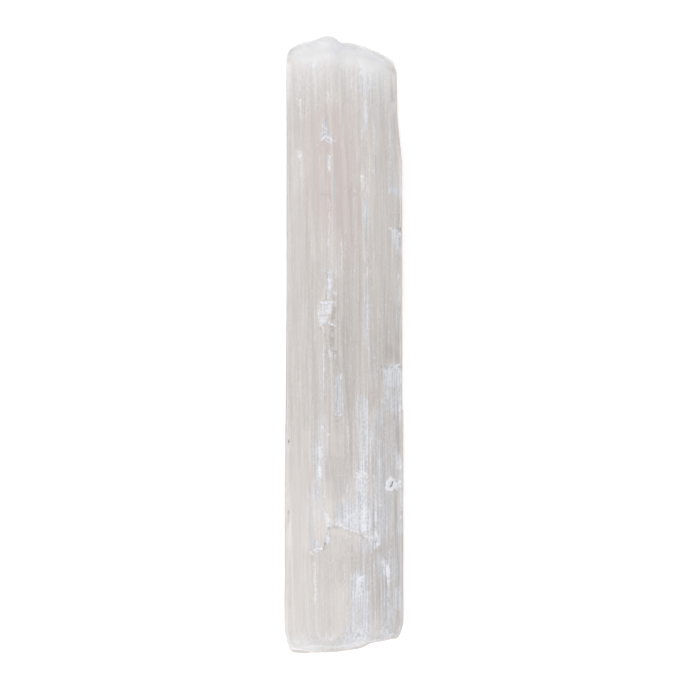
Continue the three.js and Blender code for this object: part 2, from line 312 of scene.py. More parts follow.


# The marks lie on the upper side, +X to the right and +Y to the head. Each group of strokes runs from the
# head to the foot.

# Deep, pale, rosy and cloudy zones that run down the upper side, and how its frosted ends vary. Some strokes
# are painted light and shade: dark lines along the long edges and round the head's outline, bands that even
# out the foot's end, and a faint wash of light over the left side.
ZONES = (
    *Brush(TONE, soft=0.6).strokes(
        # Partly painted light: a faint pale wash over the left side, as if lit from the left.
        (0.05, 14, (-9.5, 75, -75)),
        # Painted shade: this stroke and the next two draw thin dark lines round the head's outline.
        (-0.8, 0.6, (-9.8, 73.2), (-7.4, 73.8), (-5.2, 74.6)),
        (-0.6, 0.6, (0.8, 73.2), (3, 72.7), (6.2, 71.7), (9.4, 70.1), (11.6, 68.8)),
        (-0.5, 0.6, (-13.4, 70.6), (-12.4, 71.8), (-10.6, 72.8)),
    ),
    *Brush(TONE, soft=0.8).strokes(
        (-0.3, 2.6, (11.2, -1.6), (13.4, -4)),
        (0.25, 2, (-0.4, -38, -43.4)),
    ),
    *Brush(TONE, soft=0.9).strokes(
        (0.15, 2.4, (-10.8, 75, -75)),
        (0.15, 8, (-3.6, 56, 52)),
        (0.2, 2.2, (-1.2, -22, -26)),
        (-0.25, 2.2, (-3.6, -27, -32)),
        (0.2, 2.2, (8.4, -34, -37.4)),
        (0.15, 3, (1.4, -35, -42)),
        (0.25, 2.4, (-3, -38.5, -42)),
        (-0.35, 2.2, (8.4, -40.6, -43.4)),
        (0.2, 2.4, (-1.2, -47, -50)),
        (0.2, 3, (2.6, -47), (5.4, -47.6)),
        (0.12, 7, (-11.5, -56, -70)),
        (0.25, 4, (-0.6, -60, -69.5)),
        (0.2, 6, (9, -66), (9.6, -71)),
        # Painted shade: a dark line along the right edge near the foot.
        (-0.4, 1.8, (13.6, -66), (13.4, -69.6)),
        # Painted light and shade on the foot's end, to even out how the floor's light falls there: this
        # stroke and the next five give pale bands where the end turns down and along its outline, and dark
        # lines over its bright ring and its right outline.
        (-0.6, 1.6, (6.2, -71.4), (11, -70.8), (13.4, -69.2)),
        (0.3, 2.4, (-4, -71.6), (1.8, -71)),
        (0.2, 2.6, (-10, -71.6), (-5, -71.8)),
        (-0.12, 4.4, (-7, -72.6), (4, -71.6)),
        (-0.4, 1, (-12.6, -72.4), (-10.5, -73.2), (-4, -73.3), (2.6, -72.6)),
        (0.3, 0.8, (-11.8, -74.4), (-4, -74.6), (2.6, -73.9)),
    ),
    *Brush(TONE, stretch=1.5, soft=0.8).strokes(
        (0.25, 1.9, (-1.6, 26), (-1.4, 18)),
        (-0.12, 9, (11, 6, 0)),
        # Painted shade: this stroke and the next darken the right edge.
        (-0.2, 1.6, (13.6, -9, -14)),
        (-0.3, 2.4, (13.2, -34.6), (13.4, -40)),
        (0.45, 1.6, (-7.8, -37, -48)),
    ),
    *Brush(TONE, stretch=1.5, soft=0.9).strokes(
        (0.2, 2.2, (-10.8, 45, 38)),
        # Painted shade: darkens the right edge.
        (-0.4, 2.2, (13.4, 8, 2)),
        (0.18, 3.4, (7.4, -33, -38)),
        (0.2, 2.4, (-6.2, -34, -40)),
        (0.12, 1.6, (6.4, -60, -66)),
    ),
    *Brush(TONE, stretch=2, soft=0.6).strokes((-0.4, 2.6, (7.2, -50.5, -64))),
    *Brush(TONE, stretch=2, soft=0.7).strokes(
        (-0.15, 2.6, (7.2, -26, -36)),
        (-0.14, 8, (-2, -52, -64)),
        (-0.15, 9, (10.2, -54, -62)),
    ),
    *Brush(TONE, stretch=2, soft=0.8).strokes(
        (0.35, 0.9, (5.6, 29, 22)),
        # Painted shade: this stroke and the one at x 14 darken the right edge.
        (-0.6, 1.4, (13.6, -12), (13.8, -30)),
        (-0.3, 1.8, (6.5, -13, -19)),
        (0.4, 2.2, (4.8, -16, -26)),
        (0.25, 2.6, (-5.3, -20), (-5.4, -44)),
        (-0.2, 0.8, (6.9, -24, -37)),
        (-0.5, 1.6, (14, -46), (14.2, -66)),
        (-0.25, 3.6, (3.9, -51.5, -54.5)),
        (0.2, 20, (-6, -66, -71)),
    ),
    *Brush(TONE, stretch=2, soft=0.9).strokes(
        # The dark strokes in this group that lie 12 mm or more out from the middle are painted shade along
        # the long edges.
        (-0.3, 2.2, (13.4, 66), (13.8, 50)),
        (0.15, 1.8, (-7.7, 64, 46)),
        (0.18, 2.2, (7.2, 63, 48)),
        (0.15, 1.6, (3.6, 62, 46)),
        (-0.45, 1.4, (-13.9, 58, 10)),
        (0.12, 18, (-0.5, 58, 46)),
        (0.18, 2.6, (0.9, 55, 42)),
        (0.15, 1.8, (-2, 54), (-2.2, 38)),
        (-0.16, 1.8, (4.4, 50, 42)),
        (0.4, 1.2, (13.9, 45, 36)),
        (0.15, 1.8, (-6.9, 44, 22)),
        (0.15, 1.8, (-1.9, 37, 28)),
        (-0.12, 2, (13.4, 34), (13.5, -8)),
        (-0.2, 2.2, (13.4, 31, 20)),
        (-0.12, 1.6, (6.7, 27, 16)),
        (0.15, 1.8, (7.6, 17, 4)),
        (-0.16, 2.4, (-13.4, 9), (-13.6, -32)),
        (-0.4, 1.2, (-14.2, 8), (-14.4, -36)),
        (-0.45, 2.4, (13, -12, -30)),
        (0.2, 1.6, (7.6, -17, -26)),
        (0.2, 1.8, (-13.4, -20, -24)),
        (-0.3, 2.4, (8.8, -21, -30)),
        (0.3, 1.8, (-9.2, -22, -48)),
        (-0.2, 2, (1.2, -25, -32)),
        (0.15, 3, (-12.4, -26, -50)),
        (0.12, 4, (-12.6, -33, -46)),
        (-0.4, 2.2, (14, -40, -62)),
        (-0.25, 1.8, (13.4, -42), (13.6, -64)),
        (-0.2, 1.2, (12, -44, -60)),
        (-0.25, 1.8, (-13.8, -50), (-13.9, -62)),
    ),
    *Brush(TONE, stretch=3, soft=0.9).strokes(
        (0.2, 2.6, (-1.8, 60, 16)),
        (0.12, 2.6, (8.4, 60, 0)),
        (0.12, 1.6, (10.2, 60, 8)),
        (0.12, 1.8, (3.7, 26, -20)),
        (-0.2, 12, (3, 6, -4)),
        (0.12, 2.6, (-1, -20, -40)),
    ),
    *Brush(TONE, stretch=4, soft=0.9).strokes((-0.12, 2.6, (1.4, 44, -16))),
    *Brush(BLUSH, stretch=2, soft=0.8).strokes(
        (0.3, 3, (9.4, 56, 44)),
        (0.5, 6, (0.6, 54), (0.8, 26)),
        (0.6, 7, (-5, 53), (-4.6, 34)),
        (0.2, 10, (-8, -20, -50)),
    ),
    *Brush(CLOUD).strokes((0.4, 4.4, (11.8, -7, -14))),
    *Brush(CLOUD, soft=0.8).strokes((0.35, 5, (-12.4, -71.8), (-4, -72.4), (2, -71.6))),
    *Brush(CLOUD, soft=0.9).strokes(
        (0.25, 2.6, (3.4, -48.4), (6, -49)),
        (0.15, 5, (-6, -71.6), (6, -70.6)),
    ),
    *Brush(CLOUD, stretch=1.5, soft=0.7).strokes((0.3, 2.6, (10.2, -61, -69))),
    *Brush(CLOUD, stretch=1.5, soft=0.8).strokes(
        # Painted shade: these two strokes take the cloud off the right edge, which darkens it.
        (-0.25, 2.2, (13.6, -22, -27)),
        (-0.25, 2.4, (13.6, -35, -42)),
    ),
    *Brush(CLOUD, stretch=1.5, soft=0.9).strokes((0.22, 2.4, (-3.6, -27, -32))),
    *Brush(CLOUD, stretch=2).strokes(
        (0.35, 1.2, (-2.3, -4, -16)),
        (0.35, 5.6, (2.6, -60), (2.4, -73)),
    ),
    *Brush(CLOUD, stretch=2, soft=0.7).strokes(
        (0.3, 4, (8, -18, -44)),
        (0.08, 8, (10.6, -20, -38)),
        (0.3, 8, (11, -20, -70)),
        (0.3, 1.8, (14, -34, -44)),
        (0.35, 4.4, (4.7, -52, -70)),
    ),
    *Brush(CLOUD, stretch=2, soft=0.8).strokes(
        (0.4, 4, (8, 68, 56)),
        (0.25, 2.6, (7.4, -1, -8)),
        (-0.3, 2.2, (6.9, -12, -18)),
        (0.25, 3, (-6.2, -20), (-6.4, -27)),
        (-0.1, 0.9, (6.9, -24, -37)),
        (0.2, 2.2, (-0.1, -34, -42)),
        (0.4, 2.2, (-8.2, -36, -48)),
        (0.3, 1.2, (8.6, -52, -58)),
    ),
    *Brush(CLOUD, stretch=2, soft=0.9).strokes(
        (0.22, 2.4, (13.4, 12), (13.6, -68)),
        (-0.2, 1.6, (8.6, -21, -26)),
    ),
    *Brush(CLOUD, stretch=3).strokes((0.35, 2.4, (-5.2, -4), (-5.4, -40))),
    *Brush(CLOUD, stretch=3, soft=0.7).strokes(
        (0.25, 4.4, (4.2, -15, -40)),
        (0.55, 2.4, (4.5, -16), (4.7, -25), (4.4, -38)),
    ),
    *Brush(CLOUD, stretch=3, soft=0.8).strokes(
        (0.1, 5, (5.4, 56), (5.6, 4)),
        (0.2, 3, (13.4, 56), (13.6, 8)),
    ),
    *Brush(CLOUD, stretch=4).strokes(
        (0.25, 1.8, (-3.3, 44), (-3.2, 30)),
        (0.12, 4.6, (1.6, -22), (1.8, -38)),
    ),
    *Brush(HAZE, soft=0.6).strokes(
        # Painted shade: these three strokes take frost off in thin lines round the head's outline.
        (-0.8, 0.6, (-9.8, 73.2), (-7.4, 73.8), (-5.2, 74.6)),
        (-0.5, 0.6, (0.8, 73.2), (3, 72.7), (6.2, 71.7), (9.4, 70.1), (11.6, 68.8)),
        (-0.5, 0.6, (-13.4, 70.8), (-12.4, 71.9), (-10.6, 72.9)),
    ),
    *Brush(HAZE, soft=0.8).strokes(
        (-0.4, 1.6, (-13.4, 71.2), (-13.6, 68.6)),
        (-0.35, 2.4, (9.6, 70), (12.4, 66.5)),
    ),
    *Brush(HAZE, soft=0.9).strokes(
        # Partly painted light: more frost over the head's cap, where the end face turns from the light.
        (0.3, 3.6, (-9, 70.6), (-4, 71.4), (0, 71), (3, 70), (7.6, 68)),
        (-0.12, 6, (-11.5, 68, 65)),
        (0.15, 4.4, (-2, -71.6), (4, -71.2), (9, -69.6)),
        (0.35, 4.4, (-11.4, -72.2), (-8, -73)),
    ),
    *Brush(HAZE, stretch=1.5, soft=0.9).strokes(
        (-0.08, 2.4, (2.4, 69.5), (2, 65)),
        (-0.15, 6, (-3.2, 68), (-3, 64)),
        (-0.1, 3, (1.8, 65, 60)),
    ),
    *Brush(CRACKS).strokes(
        (0.5, 2.2, (12.5, 33, 29.5)),
        (0.5, 2.2, (-6.9, -4.5), (-7.1, -5.3)),
        (0.4, 3, (-3.2, -46, -53)),
    ),
    *Brush(CRACKS, stretch=2).strokes(
        (0.6, 2.6, (-2.9, 3.8, -9)),
        (0.6, 2.4, (-0.9, -18.5, -30)),
    ),
    *Brush(POWDER, soft=0.8).strokes((-0.5, 1, (9.4, -70.9), (11.2, -70.6))),
    *Brush(POWDER, stretch=2, soft=0.8).strokes(
        (0.12, 6, (10.6, -14), (10.4, -50)),
        (0.3, 1.6, (-0.4, -37, -42.6)),
    ),
    # Painted shade: this stroke and the five below darken the long edges and the foot's right corner.
    *Brush(PIT_AND_SHADE, soft=0.8).strokes((0.24, 2.4, (12.6, -69.6), (13.6, -67.6))),
    *Brush(PIT_AND_SHADE, stretch=1.5, soft=0.8).strokes(
        (0.22, 2.6, (13.2, -20, -27)),
        (0.2, 2.4, (13.8, -44, -60)),
    ),
    *Brush(PIT_AND_SHADE, stretch=2, soft=0.8).strokes(
        (0.2, 0.8, (-14, 26, 10)),
        (0.3, 0.9, (14.4, -46, -64)),
        (0.22, 0.7, (-14.5, -50, -64)),
    ),
)
# The frosted head, with painted shade round its outline and painted light on its cap.
HEAD = (
    *Brush(TONE, stretch=2).strokes(
        # Painted shade: dark lines just inside the right outline, below the head.
        (-0.7, 0.9, (11.9, 66), (12, 59)),
        (-0.7, 1.3, (12.8, 55.4), (13.1, 51.4)),
    ),
    *Brush(CLOUD).strokes((0.7, 1.8, (0.6, 72.2), (3, 71.4), (6.5, 70))),
    *Brush(CLOUD, stretch=2).strokes((0.5, 3.4, (5.4, 69), (5.2, 63.6))),
    *Brush(CLOUD, stretch=3).strokes(
        (0.5, 0.5, (1.6, 61), (1.4, 50)),
        (0.9, 0.7, (11.3, 58), (11, 50), (11.1, 37)),
        (0.6, 0.5, (7.4, 52, 42)),
    ),
    *Brush(CLOUD, stretch=4).strokes(
        (0.2, 2.6, (5, 63), (4.8, 56)),
        (0.25, 1.2, (5.2, 57), (4.8, 50)),
    ),
    *Brush(POWDER).strokes(
        (0.4, 0.5, (-9.3, 72.9), (-6.2, 72.8)),
        (0.4, 1, (-12.4, 71), (-10.8, 71.6)),
        (0.5, 0.6, (-2.9, 70.6, 70.1)),
        (0.6, 1.6, (-8.6, 69), (-8.4, 67.6)),
        (0.75, 1, (-7.2, 66.9), (-6.4, 67.5)),
        (0.35, 0.8, (3.7, 65.8), (3.6, 63.2)),
        (0.5, 0.7, (2.5, 65.6), (2, 64.2), (1.6, 61)),
        (0.4, 1, (3.9, 65.6), (5.8, 64)),
        (0.45, 1.5, (-3.6, 60.2, 58.6)),
        (0.32, 1.2, (-11, 59.3), (-10.2, 59.2)),
        (0.5, 0.5, (-10.5, 51.1, 50.7)),
    ),
    *Brush(POWDER, soft=0.8).strokes(
        # Partly painted light: this stroke and the next two lay powder over the head's cap, which lifts the
        # end face where it turns from the light and gives it white specks.
        (0.3, 1.4, (-13.2, 70.4), (-9, 72.2), (-4, 73.8), (0, 72.4), (6, 70.4), (11.4, 67.4)),
    ),
    *Brush(POWDER, soft=0.9).strokes(
        (0.35, 3, (-11, 70.9), (-7, 71.6), (-2, 72)),
        (0.8, 3.4, (-1.6, 71.8), (2, 71.5), (6, 70.4), (8.6, 69)),
    ),
    *Brush(POWDER, stretch=2).strokes(
        (0.5, 0.9, (-10.9, 64.5), (-10.8, 60.5)),
        (0.7, 0.8, (-10.7, 58.3), (-10.5, 55)),
        (0.45, 0.8, (5.3, 55.2), (5.2, 52.4)),
    ),
    *Brush(PIT_AND_SHADE).strokes(
        # Painted shade: the first three strokes and the one from x 9.8 to 11.4 are thin dark lines round the
        # head's outline.
        (0.3, 0.45, (-9.8, 73.1), (-7.4, 73.7), (-5.2, 74.5)),
        (0.3, 0.45, (0.2, 73.1), (3, 72.6), (6.2, 71.6), (9.4, 70)),
        (0.3, 0.5, (-13.3, 70.9), (-12.4, 71.8), (-10.6, 72.8)),
        (0.38, 0.8, (-9, 72.4), (-8.2, 72.6)),
        (0.38, 0.7, (1.4, 72.2), (2.4, 71.8)),
        (0.3, 0.45, (9.8, 69.6), (11.4, 68.7)),
        (0.33, 0.5, (-10.9, 59.7), (-10.7, 59.5)),
    ),
    *Brush(PIT_AND_SHADE, soft=0.8).strokes((0.3, 1.2, (-4.1, 73.5), (-2.7, 73))),
)
# Bruised fibres from the head to the notch.
UPPER = (
    *Brush(CLOUD).strokes(
        (0.3, 1.6, (5, 42), (7.6, 41.8)),
        (0.6, 1.8, (11.6, 37.2), (13.4, 36.8)),
    ),
    *Brush(CLOUD, soft=0.8).strokes(
        (0.6, 2, (-4.8, 53.8), (-4.6, 51.2)),
        (0.6, 2.2, (-4.9, 49.9), (-3.2, 49.4)),
        (0.75, 1.6, (12, 27), (12.2, 25.4)),
    ),
    *Brush(CLOUD, stretch=1.5, soft=0.8).strokes((0.6, 2, (13, 26.6), (13.3, 23.4))),
    *Brush(CLOUD, stretch=2).strokes(
        (0.3, 1.6, (6, 32), (6.6, 28)),
        (0.3, 0.6, (-1.6, 24, 18)),
    ),
    *Brush(CLOUD, stretch=3).strokes((0.5, 0.6, (-2.5, 43), (-2.3, 35.5))),
    *Brush(CLOUD, stretch=4).strokes((0.6, 0.9, (5.2, 34), (5.3, 22))),
    *Brush(POWDER).strokes(
        (0.5, 1, (-5.3, 53.8), (-4.9, 52.8)),
        (0.8, 0.5, (-5.4, 52.4), (-3.9, 51.7)),
        (0.7, 0.45, (-5.4, 51.4), (-3.9, 50.8)),
        (0.75, 0.5, (-2.9, 50.8)),
        (0.95, 0.55, (-4.5, 50.2), (-2.3, 49.1)),
        (0.8, 0.5, (-5.5, 49.2), (-4.6, 50.1)),
        (0.8, 0.45, (-5, 49.4), (-3, 48.6)),
        (0.6, 0.6, (-6.3, 47.9)),
        (0.75, 0.9, (-10.7, 46.6), (-10.6, 45.4)),
        (0.85, 0.5, (-3.8, 45.2), (-3.2, 45.2)),
        (0.3, 0.6, (6.1, 44.6, 43)),
        (0.7, 0.8, (-3.6, 44.4, 42)),
        (0.4, 0.5, (4, 40.6), (4.6, 40.5)),
        (0.4, 0.5, (-8.9, 35.6), (-8.8, 34.8)),
        (0.95, 0.6, (11, 28), (12.2, 27.5), (13.9, 26.8)),
        (0.75, 0.5, (12.3, 27), (12.5, 25.8)),
        (0.5, 0.5, (13.4, 26.4, 25)),
        (0.55, 1, (-3.6, 25), (-4, 23.8)),
        (0.45, 0.7, (2.8, 24.7), (3.2, 24.4)),
        (0.4, 0.5, (13.3, 24, 23)),
    ),
    *Brush(POWDER, stretch=2).strokes(
        (0.4, 0.9, (-10.5, 45), (-10.3, 40.8)),
        (0.5, 0.9, (-3.5, 34), (-3.3, 30)),
        (0.8, 0.35, (-0.8, 25), (-0.55, 22), (-0.7, 18.3)),
    ),
    *Brush(POWDER, stretch=2, soft=0.7).strokes((0.6, 1.4, (4.6, 40), (5, 38.8), (5.2, 36.6))),
    *Brush(POWDER, stretch=3).strokes(
        (0.4, 0.6, (-3.5, 43), (-3.4, 38)),
        (0.25, 0.5, (-2.5, 33.5), (-2.4, 26)),
    ),
    *Brush(PIT_AND_SHADE).strokes(
        (0.43, 0.5, (-3.6, 51)),
        (0.33, 0.4, (-4.3, 49.3), (-3.2, 48.9)),
    ),
)
# The notch in the left ridge, and what lies right of it, with painted light on the shadow of its left wall
# and a painted shadow right of its white block.
NOTCH = (
    *Brush(TONE).strokes(
        (-0.4, 0.6, (-2.2, 15.6, 13.4)),
        (-0.3, 0.8, (-2.3, 11.4, 10.8)),
    ),
    # Painted light: lifts the shadow of the notch's left wall.
    *Brush(TONE, soft=0.8).strokes((0.35, 0.9, (-4.5, 13.4), (-4.6, 10.8))),
    *Brush(TONE, stretch=2).strokes((-0.45, 1.2, (-2.9, 3.9, 0.6))),
    *Brush(TONE, stretch=2, soft=0.8).strokes((0.25, 0.9, (-0.2, 17, 8))),
    *Brush(TONE, stretch=3).strokes((0.15, 1.6, (5.4, 16, 2))),
    *Brush(CLOUD, soft=0.3).strokes((0.5, 1.4, (-3.5, 17.2, 14))),
    *Brush(CLOUD).strokes((0.5, 1.6, (-3.8, 13.6), (-3.9, 10.6))),
    *Brush(CLOUD, stretch=2).strokes((0.45, 0.6, (5.1, 14.5), (5.2, 8, 2))),
    *Brush(CLOUD, stretch=3).strokes((0.3, 1.8, (5.4, 18, 1))),
    *Brush(POWDER).strokes(
        (0.65, 0.6, (-4.8, 17.6), (-2, 17.5)),
        (0.55, 0.8, (-3.6, 17.4, 15.8)),
        (0.6, 0.5, (13.3, 17), (13.4, 15.8)),
        (0.85, 0.9, (-3.6, 15.6), (-3.5, 13.9)),
        (0.6, 0.9, (-3.7, 13.4, 11.4)),
        (1.2, 0.6, (-2.5, 12.4), (-2, 12.2)),
        (0.95, 0.5, (-5.8, 10.2), (-2.1, 10.2)),
        (0.3, 0.7, (8.6, 7.4), (8.7, 6.4)),
        (0.35, 0.7, (-10.6, 6.4), (-10.7, 5.8)),
        (0.35, 1.8, (-5, 5.2), (-5.4, 4.6)),
        (1.1, 0.5, (-3.6, 5.2), (-2.2, 4.5)),
        (0.5, 0.7, (-6, 4.9), (-5.6, 4.5)),
        (0.4, 0.8, (5.3, 4.2), (5.4, 2.6)),
        (0.45, 1, (-4.8, 3.6, 1.4)),
        (0.5, 0.45, (-3.4, 3.4), (-2.4, 2.7)),
        (0.5, 0.4, (13, 2.8), (13.9, 2.7)),
        (0.45, 0.45, (-3.4, 2.2), (-2.4, 1.6)),
    ),
    *Brush(POWDER, stretch=2).strokes((0.45, 0.8, (5.8, 20), (5.6, 16.8))),
    *Brush(POWDER, ridges=0.1).strokes((0.75, 1.1, (-3.2, 9.3), (-3.4, 7.8))),
    *Brush(POWDER, ridges=0.16, soft=0.2).strokes((0.85, 2.7, (-4.8, 8.9), (-5.1, 6.4))),
    *Brush(PIT_AND_SHADE).strokes(
        (0.43, 0.6, (-2.4, 17.1), (-2.5, 16.8)),
        (0.43, 0.6, (-2.4, 16.1, 15.8)),
        (0.36, 0.3, (5.8, 15.5), (5.7, 12), (5.9, 8.5)),
        (0.33, 0.4, (-2.9, 12.7)),
        (0.38, 0.5, (-4.9, 9.5), (-3.9, 9.5)),
        (0.38, 0.5, (-4.8, 8.5), (-4, 8.5)),
        (0.38, 0.5, (-5.4, 7.3), (-4.2, 7.1)),
        (0.3, 0.4, (-3.1, 4.4), (-2.4, 4.1)),
    ),
    # Painted shade: the shadow that falls right of the white block.
    *Brush(PIT_AND_SHADE, soft=0.8).strokes((0.43, 1.2, (-2.2, 8.8), (-2.5, 7.4), (-2.7, 6))),
)
# From the notch down to the broken front layer.
MIDDLE = (
    *Brush(TONE).strokes((-0.12, 2, (-3.2, 0), (-3.1, -3.2))),
    *Brush(TONE, stretch=2).strokes(
        (-0.5, 0.6, (12, -8, -18)),
        (-0.3, 0.8, (6.3, -37), (6.4, -44)),
    ),
    *Brush(CLOUD, soft=0.2).strokes((0.6, 1.8, (-1.2, -8.2, -16))),
    *Brush(CLOUD).strokes((0.9, 2.4, (10.9, -6.8), (12.8, -6.8), (12.9, -8.6), (11, -8.8))),
    *Brush(CLOUD, stretch=2).strokes((0.5, 1.5, (-6.7, -25, -36))),
    *Brush(CLOUD, stretch=3).strokes((0.4, 0.9, (4.5, -13), (4.6, -18))),
    *Brush(HAZE, stretch=2, soft=0.8).strokes((0.25, 1.6, (-6.6, -25), (-6.4, -33))),
    *Brush(POWDER).strokes(
        (0.95, 0.8, (-3.5, -1.5), (-3.3, -2)),
        (0.7, 0.6, (-3.5, -2.9), (-2.1, -2.9)),
        (0.5, 0.35, (-3.6, -3.6), (-2, -3.7)),
        (1.1, 0.45, (9.9, -5.5), (10.7, -5.3), (13.7, -5.3)),
        # Partly painted light: white over a shaded corner of the chip.
        (0.8, 0.8, (9.3, -5.5), (9.5, -6.2)),
        (0.6, 0.4, (11.5, -6), (11.4, -8.5)),
        (0.4, 1.4, (10.6, -6.4), (13, -6.4)),
        (0.85, 0.5, (-0.7, -7.3), (-0.6, -8.6)),
        (0.8, 0.4, (11.2, -9.7), (11.3, -10.1)),
        (0.6, 0.45, (-2.1, -10, -16.8)),
        (0.5, 0.5, (10.3, -10.6), (10.6, -13)),
        (0.4, 0.4, (6.2, -12), (6.4, -14)),
        (0.3, 1, (-4.6, -12.2, -13.2)),
        (0.75, 0.5, (9.1, -13.7), (9.6, -13.9)),
        (0.6, 0.5, (13.7, -15, -15.5)),
        (0.6, 0.5, (12.8, -15.6, -16.1)),
        (0.95, 0.45, (-2.1, -17), (-0.3, -17)),
        (0.3, 0.5, (-0.7, -17.8, -18.3)),
        (0.95, 0.6, (-3.8, -21.6), (-3.4, -21.7)),
        (0.4, 0.5, (-4.6, -26.6, -28.2)),
        (0.6, 1, (-5.9, -29.8), (-5.7, -31.4)),
        (0.7, 0.8, (1.1, -34.1), (0.8, -35.2)),
        (0.45, 0.9, (-5.7, -35.4), (-5.6, -35.8)),
        (0.5, 0.7, (-4.5, -35.9), (-4.4, -36.3)),
        (0.6, 0.5, (8.8, -37.1), (8.9, -37.5)),
        (0.85, 0.35, (8.5, -38.6), (9.1, -38.6)),
        (0.5, 0.4, (9.4, -41.6), (9.6, -42.4)),
        (0.4, 0.4, (9.4, -44.6), (9.5, -45.4)),
        (0.3, 0.6, (11.5, -45.4), (11.6, -45.8)),
    ),
    *Brush(POWDER, soft=0.8).strokes(
        (0.35, 1.6, (5.7, -31.4, -34.6)),
        (0.35, 0.9, (3.6, -33.4, -35)),
        (0.22, 1, (7.4, -40.6), (7.5, -43)),
    ),
    *Brush(POWDER, stretch=1.5).strokes((0.5, 0.9, (-4.5, -0.5), (-4.7, -2.6))),
    *Brush(POWDER, stretch=2).strokes(
        (0.35, 0.6, (-5.4, -4), (-4.7, -8.5)),
        (0.55, 0.5, (13.8, -6), (13.9, -13), (13.6, -18)),
        (0.35, 0.7, (-13, -20.7, -22.6)),
        (0.35, 1.8, (-5, -20.8), (-5.3, -25)),
        (0.6, 1.2, (-5.8, -26), (-5.6, -28.5), (-5.8, -32)),
        (0.38, 0.8, (7.3, -31), (7.4, -38), (7.6, -46)),
        (0.4, 1.1, (-5, -37.4, -40)),
    ),
    *Brush(POWDER, stretch=3, soft=0.8).strokes((0.43, 1.5, (4.5, -17), (4.7, -24), (4.5, -30))),
    *Brush(PIT_AND_SHADE).strokes(
        (0.38, 0.4, (10, -10), (10.1, -10.3)),
        (0.38, 0.35, (10.9, -10.1), (10.95, -10.4)),
        (0.33, 0.9, (13.2, -13.4), (13.4, -15.2)),
        (0.31, 0.3, (-1.7, -16.1), (-0.2, -16.1)),
        (0.28, 0.5, (-4.6, -29.2, -30.2)),
        (0.28, 0.4, (0.9, -35.8), (1, -36.4)),
    ),
    *Brush(PIT_AND_SHADE, sunk=0.1).strokes((0.9, 0.4, (-13.4, -23.45), (-13.35, -23.5))),
)
# The bruised edge of the front layer, and the ridge below its left corner, with painted light over the shade
# of its walls.
FRONT_EDGE = (
    *Brush(TONE).strokes((-0.5, 1.2, (7.7, -49.3), (8.4, -49.4))),
    # Painted light: lifts the shade under the front layer's edge.
    *Brush(TONE, soft=0.8).strokes((0.3, 1.6, (-3, -44.9), (0, -45.5))),
    *Brush(CLOUD).strokes(
        (0.6, 3, (1.6, -42.2), (5, -43.8)),
        (0.8, 1.6, (6.9, -46.8), (7.4, -48.2)),
        (0.7, 1.4, (-6.9, -47.6), (-6.4, -49.4)),
        (0.6, 0.6, (-6.7, -50.6, -54.5)),
    ),
    *Brush(CLOUD, soft=0.8).strokes((0.7, 5, (0.4, -40.6), (3.6, -42.2))),
    *Brush(POWDER).strokes(
        (0.5, 1.3, (3.2, -31.4), (3.3, -32.2)),
        (0.6, 0.8, (0.4, -40.5), (1, -41.4), (2.2, -40.8)),
        # Partly painted light: the layer's left edge is white, and this stroke is widened over its wall's
        # shadow.
        (0.9, 0.9, (-4.2, -41), (-4, -43.5), (-4.1, -47.4)),
        (0.75, 0.6, (-3.9, -41.8), (-2.8, -43), (-3.3, -43.6)),
        (0.4, 1.4, (-2.6, -42.3), (-0.4, -42.8)),
        (0.45, 2.6, (1.4, -42.6), (4.2, -44)),
        (0.95, 0.5, (-2, -43.2), (-0.5, -43.7), (0.6, -44.4), (2.5, -45), (3.5, -45.4)),
        (0.55, 0.8, (7.6, -45.4), (8.4, -47.4)),
        (0.85, 0.5, (4.2, -46.5), (5.2, -46.2), (6.2, -46.9)),
        (0.75, 0.35, (0.3, -46.3), (2.7, -46.4), (2.6, -46.8)),
        (0.4, 0.35, (0.4, -46.4), (0.3, -47.4)),
        (0.55, 0.8, (-3.9, -46.6), (-3.4, -47.1, -47.8), (-4.3, -47.9)),
        (0.6, 0.7, (6.6, -46.8, -50)),
        (0.35, 0.4, (-5.5, -49.7), (-3.5, -49.5), (-1.5, -48.2), (-0.5, -47.6)),
        (0.5, 0.4, (0.7, -48.2), (0.9, -48.2)),
        (1.2, 0.6, (7.9, -48.2), (8.4, -48.2)),
        (0.9, 1, (-7, -49.6), (-5.6, -49.2)),
        (-1, 1.2, (7.5, -49.3), (8.4, -49.4)),
        (0.95, 0.5, (-8.1, -50.1), (-7.6, -50.5)),
    ),
    *Brush(POWDER, stretch=2).strokes(
        (0.4, 3, (4.1, -32), (4.2, -40)),
        (0.45, 2, (5.2, -40.8), (5.3, -45.4)),
        (0.45, 0.35, (2, -47), (1.9, -61)),
        (0.4, 0.5, (0.1, -51), (0.2, -58)),
    ),
    *Brush(POWDER, stretch=2, soft=0.7).strokes((0.55, 1, (-7.2, -53), (-7, -57), (-6.8, -61.4))),
)
